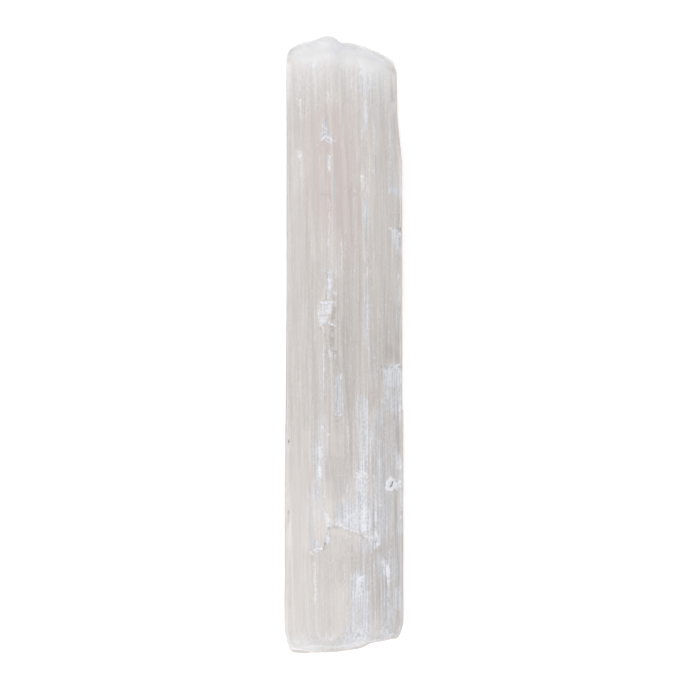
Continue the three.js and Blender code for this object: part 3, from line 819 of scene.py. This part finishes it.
# Bruises near the right edge, and round the foot.
FOOT = (
    *Brush(CLOUD).strokes(
        (0.5, 1.8, (10.9, -33.6), (11.8, -34)),
        (0.9, 1, (11.2, -64.4, -65.6)),
        (0.35, 1.6, (10.4, -69.6), (11, -69.9)),
    ),
    *Brush(CLOUD, soft=0.7).strokes((0.5, 3.4, (3.2, -56.6, -60.4))),
    *Brush(CLOUD, soft=0.9).strokes((0.35, 4, (10.2, -52.6), (10.4, -55.4))),
    *Brush(CLOUD, stretch=1.5).strokes(
        (0.6, 1, (13.4, -27.2), (13.5, -29.6)),
        (0.6, 1.2, (12.9, -59.6), (13, -63)),
    ),
    *Brush(CLOUD, stretch=2).strokes(
        (0.7, 0.6, (10.7, -57, -60)),
        (0.9, 1, (5.3, -60, -71)),
    ),
    *Brush(POWDER).strokes(
        (0.9, 0.8, (10.4, -33.6), (10.9, -32.8), (11.3, -32.4)),
        (0.8, 0.8, (11.3, -32.4), (12, -32.8)),
        (1.1, 0.5, (13.8, -33), (13.6, -33.2)),
        (0.6, 1.8, (10.9, -33.6), (11.8, -34)),
        (0.7, 1.2, (12.4, -33.6), (13.2, -33.9)),
        (1.4, 0.7, (11.6, -35), (10.5, -34.8), (10.2, -34.5)),
        (1.2, 0.5, (12.3, -34.5), (13, -34.8)),
        (1.2, 0.5, (13.7, -34.5), (14, -34.5)),
        (0.75, 0.7, (14, -41.5, -42)),
        (0.45, 0.35, (10.9, -49, -52.8)),
        (0.65, 1.7, (9.5, -52.4), (10.1, -54.8)),
        (0.3, 0.4, (8.4, -54.4, -56)),
        (0.8, 0.7, (3.5, -56.9), (4.2, -56.1), (4.9, -55.8)),
        (0.5, 0.5, (1.8, -56.3), (2.2, -56.5)),
        (0.5, 0.5, (12.7, -60.5), (12.8, -62)),
        (0.4, 0.5, (1.1, -61.5), (0.9, -63)),
        (0.4, 1.2, (10, -62.6), (11.5, -63.6)),
        (0.45, 0.35, (-3.3, -66), (-3.2, -70.6)),
        (0.35, 0.5, (4.4, -66.8, -68.2)),
        (0.6, 0.5, (9.3, -68.5), (9.4, -70)),
        (0.5, 1.2, (4.6, -70.6), (5, -72.4)),
        (0.85, 0.6, (-3.3, -70.9), (-3.2, -71.1)),
        (0.6, 1.2, (2.5, -71.2), (3, -73.3)),
        (0.75, 0.7, (-5.6, -72.8), (-5.4, -72.8)),
        (1.2, 1.2, (-11.9, -74), (-10.4, -74.5), (-8.6, -74.7)),
    ),
    *Brush(POWDER, stretch=2).strokes(
        (0.5, 0.6, (14, -28), (14.1, -31.6)),
        (0.5, 0.8, (14.1, -35.8, -39.6)),
        (0.7, 1.1, (10.6, -54), (10.7, -56.4)),
        (0.35, 0.7, (4.3, -56.6), (3.9, -59.4)),
        (0.4, 0.9, (5.7, -59), (5.6, -66), (5.4, -71)),
    ),
    *Brush(POWDER, stretch=2, soft=0.8).strokes((0.45, 1.5, (3.4, -57), (2.9, -60.2))),
    *Brush(PIT_AND_SHADE).strokes(
        (0.34, 0.4, (12.4, -32.9), (13, -33.1)),
        (0.4, 0.4, (9.8, -33.2), (9.9, -34)),
        (0.3, 0.5, (12.2, -34.1), (12.4, -34.3)),
        (0.28, 0.3, (2.4, -73.8), (4.8, -73.2)),
    ),
    *Brush(PIT_AND_SHADE, sunk=0.1).strokes((0.9, 0.3, (11.9, -33), (11.6, -33.8), (11.2, -34.5))),
    *Brush(PIT_AND_SHADE, sunk=0.2).strokes(
        (1, 0.5, (14, -40.8), (14.05, -40.9)),
        (0.9, 0.4, (11.8, -71.1), (11.9, -71.2)),
    ),
)


@dataclass(frozen=True)
class Paint:
    """How the marks are laid on."""

    marks: tuple[Mark, ...] = ZONES + HEAD + UPPER + NOTCH + MIDDLE + FRONT_EDGE + FOOT
    over_edge: float = 0.08  # how far down a point may look and still take a mark
    over_sides: float = 0.17  # how much further down it may look where it faces a side
    fade: float = 0.2  # how far above that limit a mark is in full
    ridge_turn: float = 6.5  # radians per millimetre, so that cross ridges lie about 1 mm apart
    ridge_sway: float = 1.5  # radians by which they shift from fibre to fibre

    def lay(self, skin: Skin) -> np.ndarray:
        """Puts the marks on the upper side.

        Args:
            skin: The surface, whose traits are added to.

        Returns:
            How far the marks sink each point.
        """
        rise = skin.ways[:, 2] + self.over_edge + self.over_sides * np.abs(skin.ways[:, 0])
        upper = np.flatnonzero(rise > 0)
        points, lag = skin.points[upper], skin.lag[upper]
        fade = ramp(rise[upper], 0.0, self.fade)
        waves = 1 + np.sin(points[:, 1] * self.ridge_turn + self.ridge_sway * lag)
        depth = np.zeros(len(skin.points))
        for mark in self.marks:
            share = mark.shares(points, lag) * fade
            skin.traits[mark.brush.trait][upper] += share
            depth[upper] += share * (mark.brush.sunk + mark.brush.ridges * waves)
        return depth


@dataclass(frozen=True)
class Wear:
    """What time and handling did: frosted and dented ends, clouds, and crumbled bruises, with painted shade
    low on the sides and ends and on the face towards the foot.

    A pair of values says where something starts to show, and where it shows in full. Facing is the share
    of a point's way that lies along an axis.
    """

    head_frost: tuple[float, float] = (22.5, -1.5)  # distances from the head's end
    foot_frost: tuple[float, float] = (8.0, 0.0)  # distances from the foot's end
    foot_frosted: float = 0.15  # frost at the foot, where the head has 1
    fringe: float = 1.2  # how far the frost shifts from fibre to fibre
    rim_height: tuple[float, float] = (14.5, 10.0)  # above the floor, for the painted shade low on the sides and ends
    rim_facing: tuple[float, float] = (0.8, 1.0)  # across the fibres or along them
    rim_at_ends: float = 0.55  # how much painted shade the ends take low down, where the sides have 1
    rim_frost: float = 0.6  # share of the frost that the painted shade low down takes away
    rim_shade: float = 0.7  # tone that the painted shade low down takes away
    foot_shade_facing: tuple[float, float] = (0.3, 0.75)  # towards the foot, where the face takes painted shade
    foot_shade: float = 0.2  # tone that the painted shade on the foot's end takes away
    mottle: Grain = Grain(across=1.2, along=1.6, salt=9.5)
    fine_mottle: Grain = Grain(across=0.5, along=0.7, salt=10.5)
    fine_share: float = 0.6  # strength of the fine mottling, where the coarse has 1
    mottle_range: tuple[float, float] = (-0.1, 0.7)  # values of both together
    mottle_facing: tuple[float, float] = (0.3, 0.8)  # along the fibres
    mottle_frost: float = 0.2  # frost that mottling takes away
    cloud: Grain = Grain(across=3.5, along=30.0, salt=8.5)
    cloud_range: tuple[float, float] = (0.1, 0.5)  # values of the noise
    cloud_facing: tuple[float, float] = (0.3, 0.0)  # upwards, so the sides and the underside have clouds
    clouded: float = 0.6  # how far the fibres have parted in a cloud
    dent: Grain = Grain(across=2.6, along=2.6, salt=5.5)
    dent_depth: float = 0.09
    fine_dent: Grain = Grain(across=0.9, along=0.9, salt=6.5)
    fine_dent_depth: float = 0.06
    dent_facing: tuple[float, float] = (0.4, 0.9)  # along the fibres
    crumb: Grain = Grain(across=0.6, along=0.9, salt=7.5)
    crumb_depth: float = 0.16

    def frost_and_shade(self, skin: Skin) -> None:
        """Frosts the ends, and paints shade low on the sides and ends and on the face towards the foot.

        Args:
            skin: The surface, whose haze and tone change.
        """
        y, z = skin.points[:, 1], skin.points[:, 2]
        sideways, lengthways = np.abs(skin.ways[:, 0]), np.abs(skin.ways[:, 1])
        to_end = skin.high[1] - np.abs(y) + self.fringe * skin.lag
        foot_frost = self.foot_frosted * ramp(to_end, *self.foot_frost)
        skin.traits[HAZE] += np.where(y > 0, ramp(to_end, *self.head_frost), foot_frost)
        # Painted shade: points low on the sides and ends lose frost and tone, and faces that look towards the
        # foot lose tone.
        end_rim = self.rim_at_ends * ramp(lengthways, *self.rim_facing)
        rim = ramp(z, *self.rim_height) * np.maximum(ramp(sideways, *self.rim_facing), end_rim)
        skin.traits[HAZE] *= 1 - self.rim_frost * rim
        mottle = self.mottle.at(skin.points) + self.fine_share * self.fine_mottle.at(skin.points)
        mottled = ramp(mottle, *self.mottle_range) * ramp(lengthways, *self.mottle_facing)
        skin.traits[HAZE] -= self.mottle_frost * mottled
        foot = ramp(-skin.ways[:, 1], *self.foot_shade_facing)
        skin.traits[TONE] -= self.rim_shade * rim + self.foot_shade * foot

    def clouds(self, skin: Skin) -> None:
        """Parts the fibres in places that no mark reaches."""
        hidden = ramp(skin.ways[:, 2], *self.cloud_facing)
        skin.traits[CLOUD] += self.clouded * ramp(self.cloud.at(skin.points), *self.cloud_range) * hidden

    def dents(self, skin: Skin) -> np.ndarray:
        """Dents the ends and crumbles the bruises.

        Args:
            skin: The surface.

        Returns:
            How far each point stands back.
        """
        dents = self.dent_depth * self.dent.at(skin.points)
        dents += self.fine_dent_depth * self.fine_dent.at(skin.points)
        crumbs = self.crumb_depth * (1 + self.crumb.at(skin.points)) * np.clip(skin.traits[POWDER], 0, 1)
        return dents * ramp(np.abs(skin.ways[:, 1]), *self.dent_facing) + crumbs


@dataclass
class Ray:
    """A ray from the stick's core out to its surface."""

    surface: BVHTree
    start: Vector
    way: Vector
    slide: float = 0.0  # how far the fibre that it meets has slid along Y
    step: float = 0.18  # the least step that is drawn up into a clean wall
    halvings: int = 6  # how often the way to a wall is halved to find it
    draw_up: float = 0.98  # how far the point is drawn up to the wall, as a share of the way

    def reach(self, aside: float = 0.0) -> Vector:
        """Finds the surface.

        Args:
            aside: How far along the fibres from its own place the ray starts.

        Returns:
            The point on the surface, with its fibre back in its place.
        """
        shift = Vector((0, self.slide, 0))
        hit = self.surface.ray_cast(self.start + Vector((0, aside, 0)) + shift, self.way)[0]
        return hit - shift

    def steps(self, aside: float, here: Vector) -> bool:
        """Returns whether the surface a little further along the fibres lies a step up or down from here."""
        return abs((self.reach(aside) - here).dot(self.way)) > self.step

    def settle(self, pitch: float) -> tuple[Vector, float]:
        """Finds where the ray's point of the grid comes to lie. Beside a break it is drawn up to the wall.

        Args:
            pitch: The grid's spacing along the fibres, or 0 where no wall is looked for.

        Returns:
            The point's place, and 1 if it lies at a wall.
        """
        here = self.reach()
        for side in (-pitch, pitch) if pitch else ():
            if not self.steps(side, here):
                continue
            near, far = 0.0, side
            for _ in range(self.halvings):
                middle = (near + far) / 2
                near, far = (near, middle) if self.steps(middle, here) else (middle, far)
            return self.reach(near * self.draw_up), 1.0
        return here, 0.0


@dataclass(frozen=True)
class Weave:
    """One size of streak in the fibres, as noise."""

    across: float
    along: float
    detail: float = 1.0
    roughness: float = 0.55
    usual: tuple[float, float] = (0.25, 0.75)  # where nearly all of the noise's values lie

    def wire(self, tree: Tree, place: Socket) -> Socket:
        """Adds the noise that draws the streaks.

        Args:
            tree: The material's node tree.
            place: The surface point's own coordinates, in metres.

        Returns:
            A value from about -1 to 1.
        """
        scale = (1 / (self.across * MM), 1 / (self.along * MM), 1 / (self.across * MM))
        mapping = add_node(tree, "ShaderNodeMapping", {}, {"Vector": place, "Scale": scale})
        texture = add_node(tree, "ShaderNodeTexNoise", {}, {
            "Vector": mapping.outputs["Vector"], "Scale": 1.0, "Detail": self.detail,
            "Roughness": self.roughness,
        })
        spread = add_node(tree, "ShaderNodeMapRange", {"clamp": False}, {
            "Value": texture.outputs["Fac"], "From Min": self.usual[0], "From Max": self.usual[1],
            "To Min": -1.0, "To Max": 1.0,
        })
        return spread.outputs["Result"]


@dataclass(frozen=True)
class Coat:
    """One colour of the finish. It shows where a trait, frayed by the weaves, passes from start to full."""

    colour: str
    trait: Trait
    start: float
    full: float
    frays: dict[str, float]  # how much each weave adds to the trait
    most: float = 1.0  # how well it covers at the full

    def share(self, tree: Tree, traits: dict[Trait, Socket], weaves: dict[str, Socket]) -> Socket:
        """Works out how well the coat covers.

        Args:
            tree: The material's node tree.
            traits: The surface's traits.
            weaves: The streaks in the fibres.

        Returns:
            A value from 0 to the coat's most.
        """
        value = traits[self.trait]
        for name, weight in self.frays.items():
            frayed = add_node(tree, "ShaderNodeMath", {"operation": "MULTIPLY_ADD"}, {
                0: weaves[name], 1: weight, 2: value,
            })
            value = frayed.outputs["Value"]
        covered = add_node(tree, "ShaderNodeMapRange", {"interpolation_type": "SMOOTHSTEP"}, {
            "Value": value, "From Min": self.start, "From Max": self.full, "To Min": 0.0, "To Max": self.most,
        })
        return covered.outputs["Result"]


@dataclass(frozen=True)
class SatinSpar:
    """Fibrous gypsum as it splits: pearly and milky, with the light caught between its fibres.

    To the eye it is a warm grey white with fine straight lines along the fibres, a little deeper where the
    fibres are clean, blue white where they have parted, and powdery white where they are crushed.
    """

    name: str = "satin_spar"
    body: str = "#b3aca8"
    # Real fibres are a few hundredths of a millimetre wide. The lines are as fine as a view can show.
    weaves: tuple[tuple[str, Weave], ...] = (
        ("lines", Weave(0.24, 16.0)),
        ("strands", Weave(0.6, 12.0)),
        ("bands", Weave(2.2, 30.0)),
        ("flecks", Weave(0.26, 0.7, 2.0)),
        ("crumbs", Weave(0.3, 0.45, 2.0)),
        ("cracks", Weave(1.3, 0.26)),
    )
    pale: Coat = Coat("#e1ddda", TONE, -1.0, 1.0, {
        "lines": 0.14, "strands": 0.08, "bands": 0.02, "flecks": 0.12,
    })
    rosy: Coat = Coat("#c8b7b4", BLUSH, 0.0, 1.0, {"flecks": 0.15, "strands": 0.15}, 0.5)
    cool: Coat = Coat("#c4c6cb", CLOUD, 0.05, 0.9, {"strands": 0.2, "bands": 0.1}, 0.7)
    parted: Coat = Coat("#e2e3e9", CLOUD, 0.24, 1.6, {"lines": 0.6, "strands": 0.35, "flecks": 0.45}, 0.85)
    gaps: Coat = Coat("#9c9ea4", CLOUD, 0.8, 1.9, {"lines": -0.7, "strands": -0.3, "flecks": -0.4}, 0.3)
    cracked: Coat = Coat("#dedad7", CRACKS, 0.7, 1.6, {"cracks": 0.9, "flecks": 0.2}, 0.7)
    worn: Coat = Coat("#ebebec", HAZE, 0.0, 1.0, {"flecks": 0.12, "strands": 0.03})
    crushed: Coat = Coat("#ececf1", POWDER, 0.22, 1.2, {"flecks": 0.36, "crumbs": 0.26, "lines": 0.2})
    # Dark where the pit trait is high: real dirt in cracks and pits, and painted shade beside steps, along
    # the long edges and round the head's outline.
    dirt_and_shade: Coat = Coat("#3b342f", PIT_AND_SHADE, 0.15, 1.1, {"flecks": 0.15, "crumbs": 0.12})
    ior: float = 1.522
    roughness: float = 0.42
    crushed_roughness: float = 0.85
    milkiness: float = 0.7  # share of the light that goes under the surface
    # Light spreads a few millimetres under the surface, and red light the furthest.
    depth: float = 2.6
    colour_depths: tuple[float, float, float] = (1.0, 0.88, 0.8)
    silkiness: float = 0.6  # how far the fine lines draw a highlight out
    line_height: float = 0.015
    line_strength: float = 0.6
    grain_height: float = 0.1
    grain_strength: tuple[float, float] = (0.04, 0.45)  # on clean fibres, and on crushed ones

    def coats(self) -> tuple[Coat, ...]:
        """Returns the coats in the order in which they lie one over another."""
        under = (self.pale, self.rosy, self.cool, self.parted, self.gaps, self.cracked)
        return under + (self.worn, self.crushed, self.dirt_and_shade)

    def relief(self, tree: Tree, weaves: dict[str, Socket], crushed: Socket) -> Socket:
        """Raises the fine lines, and roughens the crushed fibres.

        Args:
            tree: The material's node tree.
            weaves: The streaks in the fibres.
            crushed: How far the fibres are crushed.

        Returns:
            The surface's way out, bent by the relief.
        """
        lines = add_node(tree, "ShaderNodeBump", {}, {
            "Height": weaves["lines"], "Distance": self.line_height * MM, "Strength": self.line_strength,
        })
        strength = add_node(tree, "ShaderNodeMapRange", {}, {
            "Value": crushed, "To Min": self.grain_strength[0], "To Max": self.grain_strength[1],
        })
        grain = add_node(tree, "ShaderNodeBump", {}, {
            "Height": weaves["crumbs"], "Distance": self.grain_height * MM,
            "Normal": lines.outputs["Normal"], "Strength": strength.outputs["Result"],
        })
        return grain.outputs["Normal"]

    def material(self) -> bpy.types.Material:
        """Builds the finish.

        Returns:
            The material, for a piece that has every Trait as an attribute.
        """
        made = bpy.data.materials.new(self.name)
        made.use_nodes = True
        tree = made.node_tree
        tree.nodes.clear()
        place = add_node(tree, "ShaderNodeTexCoord").outputs["Object"]
        traits = {
            trait: add_node(tree, "ShaderNodeAttribute", {"attribute_name": trait.value}).outputs["Fac"]
            for trait in Trait
        }
        weaves = {name: weave.wire(tree, place) for name, weave in self.weaves}
        colour = linear(self.body)
        shares = {}
        for coat in self.coats():
            shares[coat.colour] = coat.share(tree, traits, weaves)
            blend = add_node(tree, "ShaderNodeMix", {"data_type": "RGBA"}, {
                MIX_SHARE: shares[coat.colour], MIX_UNDER: colour, MIX_OVER: linear(coat.colour),
            })
            colour = blend.outputs[MIX_RESULT]
        crushed = shares[self.crushed.colour]
        roughness = add_node(tree, "ShaderNodeMapRange", {}, {
            "Value": crushed, "To Min": self.roughness, "To Max": self.crushed_roughness,
        })
        tangent = add_node(tree, "ShaderNodeTangent", {"direction_type": "UV_MAP", "uv_map": FIBRE_MAP})
        shader = add_node(tree, "ShaderNodeBsdfPrincipled", {"subsurface_method": "RANDOM_WALK"}, {
            "Base Color": colour, "Roughness": roughness.outputs["Result"], "IOR": self.ior,
            "Subsurface Weight": self.milkiness, "Subsurface Scale": self.depth * MM,
            "Subsurface Radius": self.colour_depths, "Anisotropic": self.silkiness,
            "Normal": self.relief(tree, weaves, crushed), "Tangent": tangent.outputs["Tangent"],
        })
        add_node(tree, "ShaderNodeOutputMaterial", {}, {"Surface": shader.outputs["BSDF"]})
        return made


@dataclass
class SeleniteStick:
    """The stick: one grown piece, from its worn head at +Y to its worn foot at -Y."""

    node: str = "selenite_stick"
    name: str = "satin_spar_stick"
    slot: str = "satin_spar"
    body: str = "root"
    cuts: tuple[tuple[int, ...], ...] = ((45,), (11, 19), (23,))  # along X, Y and Z, one pass after another
    finer: tuple[int, int] = (2, 1)  # more cuts along X and Y on the upper side
    top_band: float = 0.1  # how near to its top the box's upper side is looked for
    core_inset: tuple[float, float, float] = (4.0, 9.0, 10.0)  # how deep the rays to the surface start
    bundle: float = 0.7  # width of the bundles that break off each at its own length
    strand: float = 0.35  # width of the strands that fray the marks
    lag_salt: float = 3.0  # sets bundles and strands apart from the laths
    jag: float = 0.3  # how far a bundle's break lies before or behind its neighbours'
    # Powder on a break's wall: partly the white of broken fibres, partly painted light that lifts the wall's
    # shade.
    plain_end: float = 13.0  # how long the ends are that have no breaks along the fibres
    plain_fade: float = 1.4  # how much further from the end the breaks are in full, as a multiple
    wall_powder_and_light: float = 0.3
    ripple: Grain = Grain(across=0.7, along=40.0, salt=3.5)
    ripple_depth: float = 0.03
    laths: tuple[Laths, ...] = (
        Laths(width=4.2, depth=0.04, length=95.0, salt=11.0),
        Laths(width=1.9, depth=0.04, length=55.0, salt=23.0),
        Laths(width=0.9, depth=0.04, length=26.0, salt=37.0),
        Laths(width=0.45, depth=0.025, length=15.0, salt=41.0),
    )
    paint: Paint = Paint()
    wear: Wear = Wear()
    finish: SatinSpar = SatinSpar()
    trait_range: tuple[float, float] = (-1.2, 1.4)  # the least and the most of a trait that a point keeps
    map_gap: float = 0.01  # between two sides on a map, as a share of the stick's length
    crease: float = 38.0  # degrees from which an edge stays sharp

    def build(self, packed: bpy.types.Object) -> bpy.types.Object:
        """Makes the stick.

        Args:
            packed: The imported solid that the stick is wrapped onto.

        Returns:
            The finished piece, dressed and riding on its body.
        """
        piece = self.blank()
        self.unwrap(piece.data)
        for axis, count in enumerate(self.finer):
            self.cut_along(piece, axis, count, upper_only=True)
        skin = self.wrap(piece, self.surface(packed))
        self.work(skin)
        self.keep(skin, piece)
        self.dress(piece)
        return piece

    def blank(self) -> bpy.types.Object:
        """Makes a box at the solid's place and cuts it into a fine grid on every side.

        Returns:
            The box, all quads.
        """
        low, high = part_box(self.node)
        bpy.ops.object.select_all(action="DESELECT")
        bpy.ops.mesh.primitive_cube_add(size=1, location=(low + high) / 2, scale=high - low)
        bpy.ops.object.transform_apply(location=True, rotation=False, scale=True)
        piece = bpy.context.active_object
        piece.name = piece.data.name = self.name
        for axis, passes in enumerate(self.cuts):
            for count in passes:
                self.cut_along(piece, axis, count)
        return piece

    def cut_along(self, piece: bpy.types.Object, axis: int, count: int, upper_only: bool = False) -> None:
        """Divides every edge that runs along one axis.

        Args:
            piece: The box.
            axis: 0, 1 or 2 for X, Y or Z.
            count: How many cuts each edge gets.
            upper_only: Whether only the edges on the box's upper side are cut.
        """
        mesh = piece.data
        ends = np.empty(len(mesh.edges) * 2, np.int32)
        mesh.edges.foreach_get("vertices", ends)
        places = self.places(mesh)
        starts, stops = places[ends[::2]], places[ends[1::2]]
        chosen = np.abs(starts - stops).argmax(1) == axis
        if upper_only:
            chosen &= np.minimum(starts, stops)[:, 2] > places[:, 2].max() - self.top_band * MM
        bpy.ops.object.mode_set(mode="EDIT")
        bpy.ops.mesh.select_mode(type="EDGE")
        bpy.ops.mesh.select_all(action="DESELECT")
        bpy.ops.object.mode_set(mode="OBJECT")
        mesh.edges.foreach_set("select", chosen)
        bpy.ops.object.mode_set(mode="EDIT")
        bpy.ops.mesh.subdivide(number_cuts=count)
        bpy.ops.object.mode_set(mode="OBJECT")

    def places(self, mesh: bpy.types.Mesh) -> np.ndarray:
        """Reads where the mesh's points lie.

        Args:
            mesh: Any mesh.

        Returns:
            Rows of x, y and z, in metres.
        """
        found = np.empty(len(mesh.vertices) * 3, np.float32)
        mesh.vertices.foreach_get("co", found)
        return found.reshape(-1, 3).astype(float)

    def unwrap(self, mesh: bpy.types.Mesh) -> None:
        """Lays the box's six sides side by side on one map, with the fibres along U.

        Args:
            mesh: The box, cut into its grid but not yet wrapped.
        """
        places = self.places(mesh)
        low, size = places.min(0), np.ptp(places, 0)
        gap = self.map_gap * size[1]
        corner = np.empty(len(mesh.loops), np.int32)
        mesh.loops.foreach_get("vertex_index", corner)
        normals = np.empty(len(mesh.polygons) * 3, np.float32)
        mesh.polygons.foreach_get("normal", normals)
        facing = np.repeat(normals.reshape(-1, 3), 4, axis=0)  # a row for each corner of a quad
        local = places[corner] - low
        axis = np.abs(facing).argmax(1)
        positive = facing.sum(1) > 0
        u, v = np.zeros(len(corner)), np.zeros(len(corner))
        row = gap
        # The four long sides lie one above another, and the two ends side by side above them.
        for side, other in ((2, 0), (0, 2)):
            for up in (True, False):
                on = (axis == side) & (positive == up)
                u[on] = gap + local[on, 1]
                v[on] = row + (local[on, other] if up == (side == 0) else size[other] - local[on, other])
                row += size[other] + gap
        for up in (True, False):
            on = (axis == 1) & (positive == up)
            u[on] = gap + local[on, 0] + (size[0] + gap) * (not up)
            v[on] = row + local[on, 2]
        whole = size[1] + 2 * gap
        for name in (FIBRE_MAP, BAKE_MAP):
            layer = mesh.uv_layers.get(name) or mesh.uv_layers.new(name=name)
            layer.uv.foreach_set("vector", np.stack([u, v], 1).ravel() / whole)

    def surface(self, packed: bpy.types.Object) -> BVHTree:
        """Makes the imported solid's surface findable.

        Args:
            packed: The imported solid.

        Returns:
            Its surface in millimetres, for rays to hit.
        """
        mesh = packed.data
        mesh.calc_loop_triangles()
        corners = [vertex.co / MM for vertex in mesh.vertices]
        return BVHTree.FromPolygons(corners, [triangle.vertices[:] for triangle in mesh.loop_triangles])

    def wrap(self, piece: bpy.types.Object, surface: BVHTree) -> Skin:
        """Wraps the box onto the solid fibre by fibre.

        Args:
            piece: The box, cut into its grid.
            surface: The solid's surface.

        Returns:
            The surface, ready to be worked.
        """
        box = self.places(piece.data) / MM
        low, high = box.min(0), box.max(0)
        inset = np.array(self.core_inset)
        starts = np.clip(box, low + inset, high - inset)
        ways = (box - starts) / np.linalg.norm(box - starts, axis=1, keepdims=True)
        pitch = np.full(len(box), (high[1] - low[1]) / math.prod(n + 1 for n in self.cuts[1]))
        pitch[box[:, 2] > high[2] - self.top_band] /= self.finer[1] + 1
        flank = ramp(high[1] - np.abs(box[:, 1]), self.plain_end, self.plain_fade * self.plain_end)
        traits = {trait: np.zeros(len(box)) for trait in Trait}

        rays = [Ray(surface, Vector(start), Vector(way)) for start, way in zip(starts, ways)]
        # Where a ray first meets the surface tells which bundle it is, and so how far it slides.
        slides = self.jag * self.lag(np.array([ray.reach() for ray in rays]), self.bundle) * flank
        points = np.empty_like(box)
        for i, ray in enumerate(rays):
            ray.slide = slides[i]
            points[i], walled = ray.settle(pitch[i] * (flank[i] > 0))
            # Partly painted light: powder on a break's wall lifts its shade.
            traits[POWDER][i] = walled * self.wall_powder_and_light
        return Skin(low, high, points, ways, pitch, flank, self.lag(points, self.strand), traits)

    def lag(self, points: np.ndarray, width: float) -> np.ndarray:
        """Returns each point's number from -1 to 1, which is the same all along a fibre of that width."""
        cores = (noise.voronoi(Vector((x / width, self.lag_salt, z / width)))[1][0] for x, _, z in points)
        return np.array([2 * chance(core, Draw.LAG) - 1 for core in cores])

    def work(self, skin: Skin) -> None:
        """Ripples the surface, parts it into laths, lays on the marks, wears it, and paints shade on its
        lower sides and its foot's end.

        Args:
            skin: The surface. No point leaves the solid's box.
        """
        depth = self.ripple_depth * (1 + self.ripple.at(skin.points))
        for laths in self.laths:
            depth += laths.part(skin)
        depth += self.paint.lay(skin)
        self.wear.frost_and_shade(skin)
        self.wear.clouds(skin)
        depth += self.wear.dents(skin)
        skin.points = np.clip(skin.points - skin.ways * depth[:, None], skin.low, skin.high)

    def keep(self, skin: Skin, piece: bpy.types.Object) -> None:
        """Gives the piece the surface's points and traits.

        Args:
            skin: The worked surface.
            piece: The box, in the same order of points.
        """
        piece.data.vertices.foreach_set("co", (skin.points * MM).ravel())
        piece.data.update()
        for trait, values in skin.traits.items():
            layer = piece.data.attributes.new(trait.value, "FLOAT", "POINT")
            layer.data.foreach_set("value", np.clip(values, *self.trait_range).astype(np.float32))

    def dress(self, piece: bpy.types.Object) -> None:
        """Smooths the shading up to the walls of the breaks, and gives the piece its finish and its body.

        Args:
            piece: The stick.
        """
        bpy.ops.object.select_all(action="DESELECT")
        piece.select_set(True)
        bpy.context.view_layer.objects.active = piece
        bpy.ops.object.shade_smooth_by_angle(angle=math.radians(self.crease))
        piece.data.materials.append(self.finish.material())
        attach(piece, self.body)
        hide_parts(self.node)


@dataclass
class Studio:
    """A plain white card that glows faintly, under an even sky and one soft light."""

    white: str = "#ffffff"
    floor_colour: str = "#f6f6f6"
    floor_size: float = 6.0  # in metres
    floor_roughness: float = 0.9
    glow: float = 0.33
    sky: float = 0.63
    key_energy: float = 2.5  # in watts
    key_size: float = 0.6  # in metres
    key_place: tuple[float, float, float] = (-0.1, -0.1, 0.72)  # in metres
    frame_width: float = 169.5  # what the view takes in at the stick's widest
    lens: float = 400.0
    sensor: float = 36.0
    nearest: float = 0.01  # in metres, the nearest that the camera sees
    aim: tuple[float, float] = (1.45, -1.35)  # the middle of the view, from the middle of the stick

    def floor(self) -> None:
        """Lays the floor under the stick."""
        bpy.ops.object.select_all(action="DESELECT")
        bpy.ops.mesh.primitive_plane_add(size=self.floor_size, location=(0, 0, 0))
        floor = bpy.context.active_object
        floor.name = "floor"
        made = bpy.data.materials.new("floor_card")
        made.use_nodes = True
        shader = made.node_tree.nodes["Principled BSDF"]
        shader.inputs["Base Color"].default_value = linear(self.floor_colour)
        shader.inputs["Roughness"].default_value = self.floor_roughness
        shader.inputs["Emission Color"].default_value = linear(self.white)
        shader.inputs["Emission Strength"].default_value = self.glow
        floor.data.materials.append(made)
        floor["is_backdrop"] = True

    def lights(self) -> None:
        """Hangs a large soft light over the stick's left side, towards its foot, under an even sky."""
        world = bpy.data.worlds.new("studio")
        world.use_nodes = True
        background = world.node_tree.nodes["Background"]
        background.inputs["Color"].default_value = linear(self.white)
        background.inputs["Strength"].default_value = self.sky
        bpy.context.scene.world = world
        bpy.ops.object.light_add(type="AREA", location=self.key_place)
        key = bpy.context.active_object
        key.name = "key"
        key.data.shape = "DISK"
        key.data.size = self.key_size
        key.data.energy = self.key_energy
        key.rotation_euler = (-key.location).to_track_quat("-Z", "Y").to_euler()

    def camera(self, middle_height: float) -> None:
        """Places the scene's camera straight above the stick.

        Args:
            middle_height: The height of the stick's widest place, in metres.
        """
        distance = self.frame_width * MM * self.lens / self.sensor
        bpy.ops.object.camera_add(location=(self.aim[0] * MM, self.aim[1] * MM, middle_height + distance))
        camera = bpy.context.active_object
        camera.data.lens = self.lens
        camera.data.sensor_width = self.sensor
        camera.data.clip_start = self.nearest
        bpy.context.scene.camera = camera

    def develop(self) -> None:
        """Sets plain colour handling, so that pale tones stay as pale as they are."""
        view = bpy.context.scene.view_settings
        view.view_transform = "Standard"
        view.look = "None"


def main() -> None:
    """Loads the frame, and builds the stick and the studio."""
    logging.basicConfig(level=logging.INFO, format="%(name)s: %(message)s")
    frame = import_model()
    cad_low, cad_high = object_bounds()
    stick = SeleniteStick()
    piece = stick.build(frame["nodes"][stick.node])
    log.info("%s: %d faces", piece.name, len(piece.data.polygons))
    studio = Studio()
    studio.floor()
    studio.lights()
    studio.camera((cad_low.z + cad_high.z) / 2)
    studio.develop()


if __name__ == "__main__":
    main()
